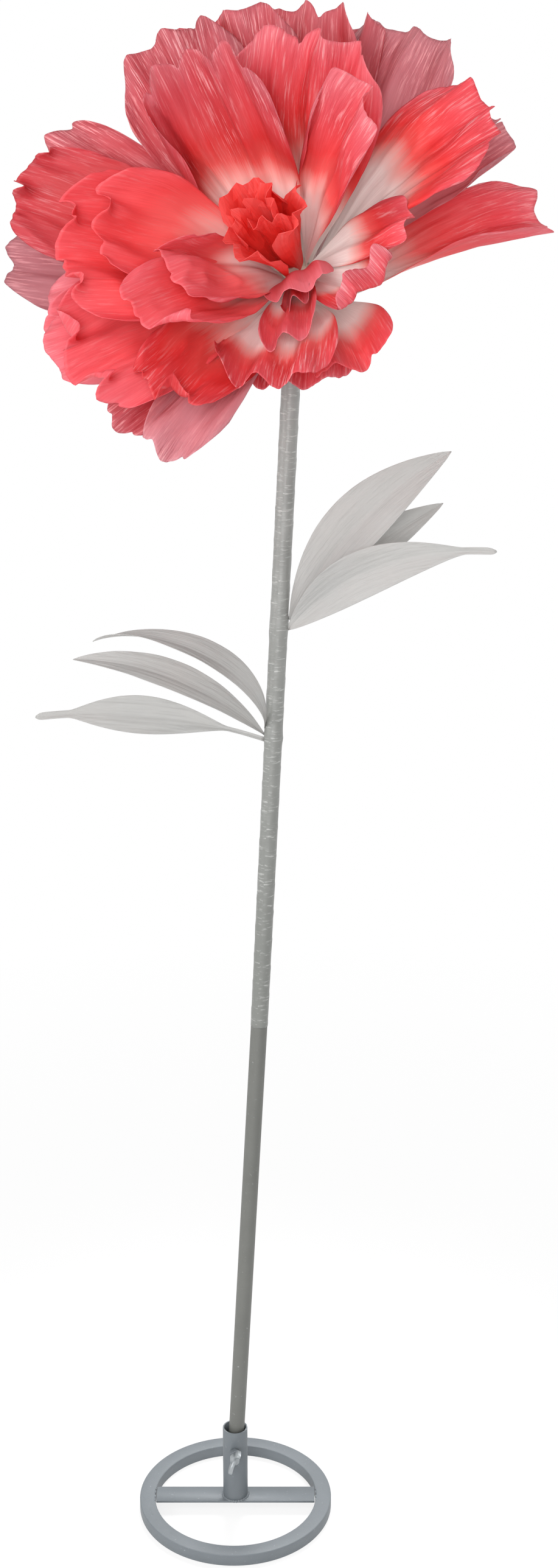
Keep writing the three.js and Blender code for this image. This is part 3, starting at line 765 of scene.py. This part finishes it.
def petal_relief(petal, u, v, s, opened):
    """Height of a petal's ruffle, pleats, crumples, dents and crimped rim, in millimetres."""
    sway = RUFFLE_SWAY * ripple(petal["seed"] + 0.1, u * 1.6, v * 0.8)
    ruffle = petal["ruffle"] * s * s * np.sin(math.pi * petal["waves"] * v + sway)
    pleat = petal["pleat"] * opened * uneven(ridges, PLEAT_NOISE, petal, u, v)
    crumple = petal["crumple"] * opened * u * uneven(ridges, CRUMPLE_NOISE, petal, u, v)
    dent = petal["dent"] * opened * uneven(ripple, DENT_NOISE, petal, u, v)
    crimp = petal["crimp"] * u ** 6 * uneven(ripple, CRIMP_NOISE, petal, u, v)
    return ruffle + pleat + crumple + dent + crimp


def petal_points(petal, u, v):
    """Points of a ruffled petal: u runs from its gathered foot to its edge, v from side to side."""
    length = petal["length"]
    axes = sheet_axes(petal["direction"], FLOWER_AXIS, petal["roll"])
    s = petal_edge(petal, u, v)
    opened = np.sin(math.pi / 2 * np.clip(s / PETAL_BELLY, 0, 1)) ** PETAL_FLARE
    spread = petal["foot"] + (1 - petal["foot"]) * opened
    half = petal["width"] / 2 * spread
    folded = opened * (1 - petal["rim"] * u ** 3)
    side, hollow = cross_section(u, v, math.radians(petal["cup"]) * spread, petal["folds"], folded)
    forward, outward = midrib(s, petal["bend"], edge_turns(petal, u, v))
    angle = math.radians(petal["bend"]) * (s - 0.5)
    height = half * hollow + petal_relief(petal, u, v, s, opened)
    foot = petal_foot(petal)
    return sheet_points(foot, axes, length * forward, length * outward, angle, height, half * side)


def leaf_half(leaf, u):
    """Half the width of a leaf at each place along it, in millimetres."""
    blade = np.clip((u - leaf["start"]) / (leaf["end"] - leaf["start"]), 0, 1) ** leaf["peak"]
    slim = np.where(u > leaf["end"], leaf["tail"], leaf["stalk"] + (leaf["tail"] - leaf["stalk"]) * blade)
    full = np.sin(math.pi * blade) ** LEAF_FULLNESS
    tip = np.sqrt(np.clip(1 - ((u - 1 + LEAF_TIP) / LEAF_TIP).clip(0) ** 2, LEAF_BLUNT, 1))
    return leaf["width"] / 2 * np.hypot(slim, full) * tip


def leaf_points(leaf, u, v):
    """Points of a leaf with a creased midrib, on a stalk at its foot and with a short tail at its tip."""
    direction = front_direction(leaf["clock"], leaf["tilt"])
    axes = sheet_axes(direction, unit(leaf["facing"]), leaf["roll"])
    share = (RING_CENTRE[2] + MM * leaf["height"] - POLE_JOINT[2]) / (POLE_TOP[2] - POLE_JOINT[2])
    level = unit(direction * (1, 1, 0))
    lean = leaf["width"] / 2 * leaf["stalk"] * abs(axes[2].dot(level))
    foot = POLE_JOINT + share * (POLE_TOP - POLE_JOINT) + MM * (WRAP_RADIUS + lean) * level
    half = leaf_half(leaf, u)
    fold = math.radians(leaf["fold"])
    crease = np.sqrt(v * v + MIDRIB_SOFTNESS) - math.sqrt(MIDRIB_SOFTNESS)
    vein = VEIN_HEIGHT * np.sin(v * leaf["width"] / VEIN_PITCH) * half / leaf["width"]
    wave = LEAF_WAVE * np.abs(v) * ripple(leaf["seed"], 2 * v, 6 * u)
    flat = v * half * math.cos(fold)
    raised = crease * half * math.sin(fold) + vein + wave * np.sin(math.pi * u)
    twist = math.radians(leaf["twist"]) * u * u
    across = flat * np.cos(twist) - raised * np.sin(twist) + 4 * leaf["bow"] * u * (1 - u)
    height = flat * np.sin(twist) + raised * np.cos(twist)
    forward, outward = midrib(u, leaf["bend"], [])
    angle = math.radians(leaf["bend"]) * (u - 0.5)
    length = leaf["length"]
    return sheet_points(foot, axes, length * forward, length * outward, angle, height, across)


def finished(name, bm, material, body="stand", node=None, smooth=True):
    """Turns a bmesh into a piece with one material, which rides a body and may stand for a CAD node."""
    mesh = bpy.data.meshes.new(name)
    bm.to_mesh(mesh)
    bm.free()
    if smooth:
        mesh.shade_smooth()
    mesh.materials.append(material)
    piece = bpy.data.objects.new(name, mesh)
    bpy.context.scene.collection.objects.link(piece)
    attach(piece, body)
    if node:
        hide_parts(node)
    return piece


def thicken(piece, thickness, offset=0.0):
    wall = piece.modifiers.new("paper_thickness", "SOLIDIFY")
    wall.thickness = thickness * MM
    wall.offset = offset
    return piece


def flat_sheet(cells):
    """Grid with a UV map, and for each vertex its place along from 0 to 1 and across from -1 to 1."""
    bm = bmesh.new()
    bm.loops.layers.uv.new("sheet")
    bmesh.ops.create_grid(bm, x_segments=cells[0], y_segments=cells[1], size=1.0, calc_uvs=True)
    flat = np.array([vertex.co[:] for vertex in bm.verts])
    return bm, (flat[:, 1] + 1) / 2, flat[:, 0]


def place_points(bm, points):
    for vertex, point in zip(bm.verts, points):
        vertex.co = point


def map_sheet(bm, layer, first, second):
    """Writes two numbers of each vertex into a UV map."""
    uv = bm.loops.layers.uv.get(layer) or bm.loops.layers.uv.new(layer)
    for face in bm.faces:
        for loop in face.loops:
            loop[uv].uv = (first[loop.vert.index], second[loop.vert.index])


def map_paper(bm, across, along, seed):
    """Lays the paper's own pattern on a sheet, from millimetres, at another place for each seed."""
    map_sheet(bm, "sheet", MM * across + SHEET_SHIFT[0] * seed, MM * along + SHEET_SHIFT[1] * seed)


def make_petal(name, petal, material):
    if "folds" not in petal:
        petal["folds"] = own_folds(petal)
        petal["rim"] = RIM_OPENING
    bm, u, v = flat_sheet(petal["cells"])
    flap = petal["flap"] * np.clip((1 - u) / FLAP_TAPER, FLAP_LEAST, 1)
    v = v * (1 + flap / 2) - flap / 2
    past_white = (u - petal["white"]) / (1 - petal["white"])
    dyed = past_white * petal["fade"] + DYE_START + DYE_SIDES * np.abs(v) ** 3
    map_paper(bm, petal["width"] / 2 * v, petal["length"] * u, petal["seed"])
    map_sheet(bm, "dye", np.full_like(u, petal["pale"]), dyed)
    map_sheet(bm, "wear", np.full_like(u, petal["crinkle"]), u)
    map_sheet(bm, "tone", np.full_like(u, petal["tone"]), v)
    place_points(bm, petal_points(petal, u, v))
    smooth = petal["cells"][0] > FACETED_CELLS
    thicken(finished(name, bm, material, node=name, smooth=smooth), PETAL_PAPER)


def make_flower():
    coral = petal_finish("coral_crepe_paper", CORAL_DYE, CORAL_THROUGH)
    faded = petal_finish("faded_crepe_paper", FADED_DYE, FADED_THROUGH)
    red = petal_finish("red_crepe_paper", RED_DYE, RED_THROUGH)
    rings = [
        ("outer_petal_{:02d}", OUTER_RING, OUTER_PETALS),
        ("middle_petal_{}", MIDDLE_RING, MIDDLE_PETALS),
        ("inner_petal_{}", INNER_RING, INNER_PETALS),
    ]
    seed = 0
    for pattern, common, petals in rings:
        for number, own in enumerate(petals, 1):
            seed += 1
            petal = {**common, **own, "seed": seed, "direction": front_direction(own["clock"], own["tilt"])}
            petal["towards"] = front_direction(own.get("seat_clock", own["clock"]), own["tilt"])
            wide = petal["width"] >= WIDE_PETAL or petal["cup"] > ROLLED_CUP
            petal["waves"] = WIDE_WAVES if wide else NARROW_WAVES
            paper = faded if petal["pale"] >= FADED_FROM else coral
            make_petal(pattern.format(number), petal, paper)
    for ring, own in enumerate(CORE_RINGS):
        for k in range(CORE_PER_RING):
            seed += 1
            direction = axis_direction(own["open"], own["start"] + k * 360 / CORE_PER_RING)
            petal = {**CORE_COMMON, **own, "seed": seed, "direction": direction, "towards": direction}
            make_petal(f"core_petal_{ring * CORE_PER_RING + k + 1}", petal, red)


def make_leaves():
    white = leaf_finish()
    for seed, (name, own) in enumerate(LEAVES.items(), LEAF_SEED):
        leaf = {**LEAF_COMMON, **own, "seed": seed}
        bm, u, v = flat_sheet(leaf["cells"])
        map_paper(bm, leaf_half(leaf, u) * v, leaf["length"] * u, seed)
        place_points(bm, leaf_points(leaf, u, v))
        thicken(finished(name, bm, white, node=name), LEAF_PAPER)


def pole_frame(start, end):
    """Matrix that stands +Z along the pole, with its origin at the start."""
    rise = Vector(end - start)
    turn = rise.to_track_quat("Z", "Y").to_matrix().to_4x4()
    return Matrix.Translation(Vector(start)) @ turn


def make_wrap():
    """Tape wound up the stem: each turn's edge stands over the one below, with lumps at the leaves."""
    length = np.linalg.norm(POLE_TOP - POLE_JOINT) / MM - WRAP_TOP_BELOW_END
    bm, u, v = flat_sheet(WRAP_CELLS)
    turn = math.pi * v
    height = length * u
    winding = (height / TAPE_PITCH + turn / (2 * math.pi)) % 1.0
    lift = TAPE_STEP * winding ** 3 * (1 - soft_step((winding - TAPE_EDGE) / TAPE_EDGE_SOFTNESS))
    rise = height + (POLE_JOINT[2] - RING_CENTRE[2]) / MM
    lump = sum(np.exp(-((rise - joint) / LEAF_JOINT_SPREAD) ** 2) for joint in LEAF_JOINTS)
    crumpled = np.array([noise.noise(Vector((math.cos(a) * 2, math.sin(a) * 2, h / TAPE_CRUMPLE_RUN)))
                         for a, h in zip(turn, height)])
    radius = WRAP_RADIUS - WRAP_INSET + lift + lump * LEAF_JOINT_LUMP + TAPE_CRUMPLE * crumpled
    points = np.stack([radius * np.cos(turn), radius * np.sin(turn), height], axis=1) * MM
    map_sheet(bm, "sheet", MM * WRAP_RADIUS * turn, MM * height)
    place_points(bm, points)
    bmesh.ops.remove_doubles(bm, verts=bm.verts, dist=1e-6)
    bmesh.ops.transform(bm, matrix=pole_frame(POLE_JOINT, POLE_TOP), verts=bm.verts)
    bmesh.ops.recalc_face_normals(bm, faces=bm.faces)
    piece = finished("stem_wrap", bm, wrap_finish(), node="stem_wrap")
    thicken(piece, WRAP_WALL, -1.0)


def spun(profile, steps):
    """Closed ring spun from a closed profile of radius and height, in metres."""
    bm = bmesh.new()
    corners = [bm.verts.new((radius, 0.0, height)) for radius, height in profile]
    edges = [bm.edges.new((corners[k - 1], corners[k])) for k in range(len(corners))]
    bmesh.ops.spin(bm, geom=corners + edges, cent=(0, 0, 0), axis=(0, 0, 1), angle=2 * math.pi, steps=steps,
                   use_merge=True)
    bmesh.ops.remove_doubles(bm, verts=bm.verts, dist=1e-6)
    bmesh.ops.recalc_face_normals(bm, faces=bm.faces)
    return bm


def rounded_box(inner, outer, low, high, radius, steps=4):
    """Profile of a rectangle with rounded corners."""
    middles = [(outer - radius, low + radius, -90), (outer - radius, high - radius, 0),
               (inner + radius, high - radius, 90), (inner + radius, low + radius, 180)]
    angles = np.radians(np.linspace(0, 90, steps + 1))
    return [(x + radius * math.cos(a + math.radians(turn)), y + radius * math.sin(a + math.radians(turn)))
            for x, y, turn in middles for a in angles]


def make_ring(paint):
    outer = (RING_HIGH.x - RING_LOW.x) / 2
    bm = spun(rounded_box(outer - RING_WIDTH * MM, outer, 0.0, RING_HIGH.z, RING_EDGE * MM), RING_STEPS)
    bmesh.ops.translate(bm, vec=Vector(RING_CENTRE), verts=bm.verts)
    finished("base_ring", bm, paint, node="base_ring")


def make_lower_pipe(grey):
    length = np.linalg.norm(POLE_JOINT - POLE_FOOT)
    wall = rounded_box(LOWER_PIPE_BORE * MM, LOWER_PIPE_RADIUS * MM, 0.0, length, PIPE_EDGE * MM)
    bm = spun(wall, PIPE_STEPS)
    bmesh.ops.transform(bm, matrix=pole_frame(POLE_FOOT, POLE_JOINT), verts=bm.verts)
    finished("lower_pipe", bm, grey, node="lower_pipe")


def ripple_bead(bm):
    """Gives a spun weld bead its row of small ripples."""
    for vertex in bm.verts:
        angle = math.atan2(vertex.co.y, vertex.co.x)
        swell = 1 + WELD_RIPPLE * math.sin(WELD_RIPPLES * angle + 2 * math.sin(3 * angle))
        middle = Vector((math.cos(angle), math.sin(angle), 0)) * SOCKET_RADIUS * MM
        vertex.co = middle + (vertex.co - middle) * swell


def make_welds(paint):
    """Painted-over weld beads: one round the socket's foot and tacks where the bar meets the ring."""
    bm = spun([((SOCKET_RADIUS + WELD_SIZE * math.cos(a)) * MM, WELD_SIZE * math.sin(a) * MM)
               for a in np.linspace(0, 2 * math.pi, WELD_SIDES, endpoint=False)], WELD_STEPS)
    ripple_bead(bm)
    inner = (RING_HIGH.x - RING_LOW.x) / 2 - RING_WIDTH * MM
    size = Matrix.Diagonal((*[extent * MM for extent in TACK_SIZE], 1))
    for side in (-1, 1):
        for offset in TACKS:
            place = Matrix.Translation((side * inner, offset * MM, 0.0))
            bmesh.ops.create_icosphere(bm, subdivisions=2, radius=1.0, matrix=place @ size)
    bmesh.ops.translate(bm, vec=Vector(RING_CENTRE) + Vector((0, 0, RING_HIGH.z)), verts=bm.verts)
    finished("welds", bm, paint)


def soften(node, width):
    """Rounds the edges of a CAD piece that keeps its own shape."""
    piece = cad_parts[node]
    piece.data.shade_smooth()
    weld = piece.modifiers.new("joined_faces", "WELD")
    weld.merge_threshold = 1e-5
    edge = piece.modifiers.new("soft_edges", "BEVEL")
    edge.width = width * MM
    edge.segments = 3
    edge.limit_method = "ANGLE"
    edge.angle_limit = math.radians(SOFT_ANGLE)
    edge.harden_normals = True


def dress(node, material):
    """Gives a CAD piece that stays its finish."""
    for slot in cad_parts[node].material_slots:
        slot.material = material


def make_stand():
    paint = paint_finish("grey_paint_satin", RING_PAINT, RING_DUST)
    grey = paint_finish("pole_paint", POLE_PAINT, POLE_DUST)
    make_ring(paint)
    make_lower_pipe(grey)
    make_welds(paint)
    for node, width in SOFT_EDGES.items():
        soften(node, width)
    for node in ("cross_bar", "socket_tube", "clamp_nut"):
        dress(node, paint)
    for node in ("upper_pipe", "pole_spigot"):
        dress(node, grey)
    dress("wing_screw", zinc_finish())
    dress("flower_block", wood_finish())


# Studio: pale floor, white to the eye, and the photo's camera, placed from the ring's middle in metres
WHITE = (1.0, 1.0, 1.0, 1.0)
FLOOR_MATT = (0.9, 0.9, 0.9, 1.0)
FLOOR_RADIUS = 7.0
FLOOR_SIDES = 96
FLOOR_DROP = 0.0005
FLOOR_NEAR = 0.82
FLOOR_FADE = (0.3, 2.0)
WORLD_LIGHT = 0.45
CAMERA_OFFSET = np.array([0.0569, -2.40, 1.77])
CAMERA_DROP = 17.937
CAMERA_LENS = 49.486
CAMERA_SENSOR = 36.0

# Soft boxes: place from the ring's middle, height that each aims at, size in metres and power in watts
LAMPS = [
    dict(name="key_light", place=(-0.9, -2.5, 3.6), aim=1.6, size=1.3, power=27),
    dict(name="front_light", place=(-0.5, -4.2, 2.0), aim=1.5, size=1.8, power=101),
    dict(name="left_side", place=(-3.2, -1.4, 2.1), aim=1.4, size=1.2, power=48),
    dict(name="right_rim", place=(3.0, 1.8, 2.4), aim=1.1, size=1.6, power=52),
    dict(name="base_light", place=(0.1, 0.8, 1.6), aim=0.0, size=0.5, power=2.0, spread=50),
]


def seen_as_white(finish):
    """1 for what the camera sees, also in reflections and through glass, and 0 for light on the object."""
    seen = finish.node("ShaderNodeLightPath", None, None, out="Is Camera Ray")
    glossy = finish.node("ShaderNodeLightPath", None, None, out="Is Glossy Ray")
    passed = finish.node("ShaderNodeLightPath", None, None, out="Is Transmission Ray")
    return seen + glossy + passed


def floor_finish():
    """Pale studio floor: white to the camera and in reflections, with the object's soft shadow on it."""
    finish = new_finish("studio_floor")
    reach = finish.node("ShaderNodeVectorMath", {"operation": "LENGTH"}, {0: finish.place()}, out="Value")
    white = finish.ranged(reach, *FLOOR_FADE, FLOOR_NEAR, 1.0)
    matt = finish.node("ShaderNodeBsdfDiffuse", None, {"Color": FLOOR_MATT})
    glow = finish.node("ShaderNodeEmission", None, {"Color": WHITE, "Strength": 1.0})
    return finish.output(finish.node("ShaderNodeMixShader", None, {
        0: seen_as_white(finish) * white, 1: matt, 2: glow}))


def make_floor():
    bm = bmesh.new()
    bmesh.ops.create_circle(bm, cap_ends=True, segments=FLOOR_SIDES, radius=FLOOR_RADIUS)
    mesh = bpy.data.meshes.new("floor")
    bm.to_mesh(mesh)
    bm.free()
    mesh.materials.append(floor_finish())
    floor = bpy.data.objects.new("floor", mesh)
    floor.location.z = -FLOOR_DROP
    bpy.context.scene.collection.objects.link(floor)


def make_world():
    """White studio: white to the camera and in reflections, a plain soft light on the object."""
    studio = Finish(bpy.data.worlds.new("studio"))
    light = studio.node("ShaderNodeBackground", None, {"Color": WHITE, "Strength": WORLD_LIGHT})
    white = studio.node("ShaderNodeBackground", None, {"Color": WHITE, "Strength": 1.0})
    both = studio.node("ShaderNodeMixShader", None, {0: seen_as_white(studio), 1: light, 2: white})
    bpy.context.scene.world = studio.output(both, "ShaderNodeOutputWorld")


def make_lamp(name, place, aim, size, power, spread=180):
    """Soft box at a place from the ring's middle, turned towards a height on the object."""
    lamp = bpy.data.lights.new(name, "AREA")
    lamp.shape = "SQUARE"
    lamp.size = size
    lamp.energy = power
    lamp.spread = math.radians(spread)
    holder = bpy.data.objects.new(name, lamp)
    holder.location = Vector(RING_CENTRE) + Vector(place)
    towards = Vector(RING_CENTRE) + Vector((0, 0, aim)) - holder.location
    holder.rotation_euler = towards.to_track_quat("-Z", "Y").to_euler()
    bpy.context.scene.collection.objects.link(holder)


def make_camera():
    data = bpy.data.cameras.new("camera")
    data.lens = CAMERA_LENS
    data.sensor_width = CAMERA_SENSOR
    data.sensor_fit = "AUTO"
    camera = bpy.data.objects.new("camera", data)
    camera.location = Vector(RING_CENTRE + CAMERA_OFFSET)
    camera.rotation_euler = (math.radians(90 - CAMERA_DROP), 0.0, 0.0)
    bpy.context.scene.collection.objects.link(camera)
    bpy.context.scene.camera = camera


make_camera()
make_world()
make_floor()
for lamp in LAMPS:
    make_lamp(**lamp)
make_stand()
make_wrap()
make_leaves()
make_flower()

bpy.context.scene.view_settings.view_transform = "Standard"
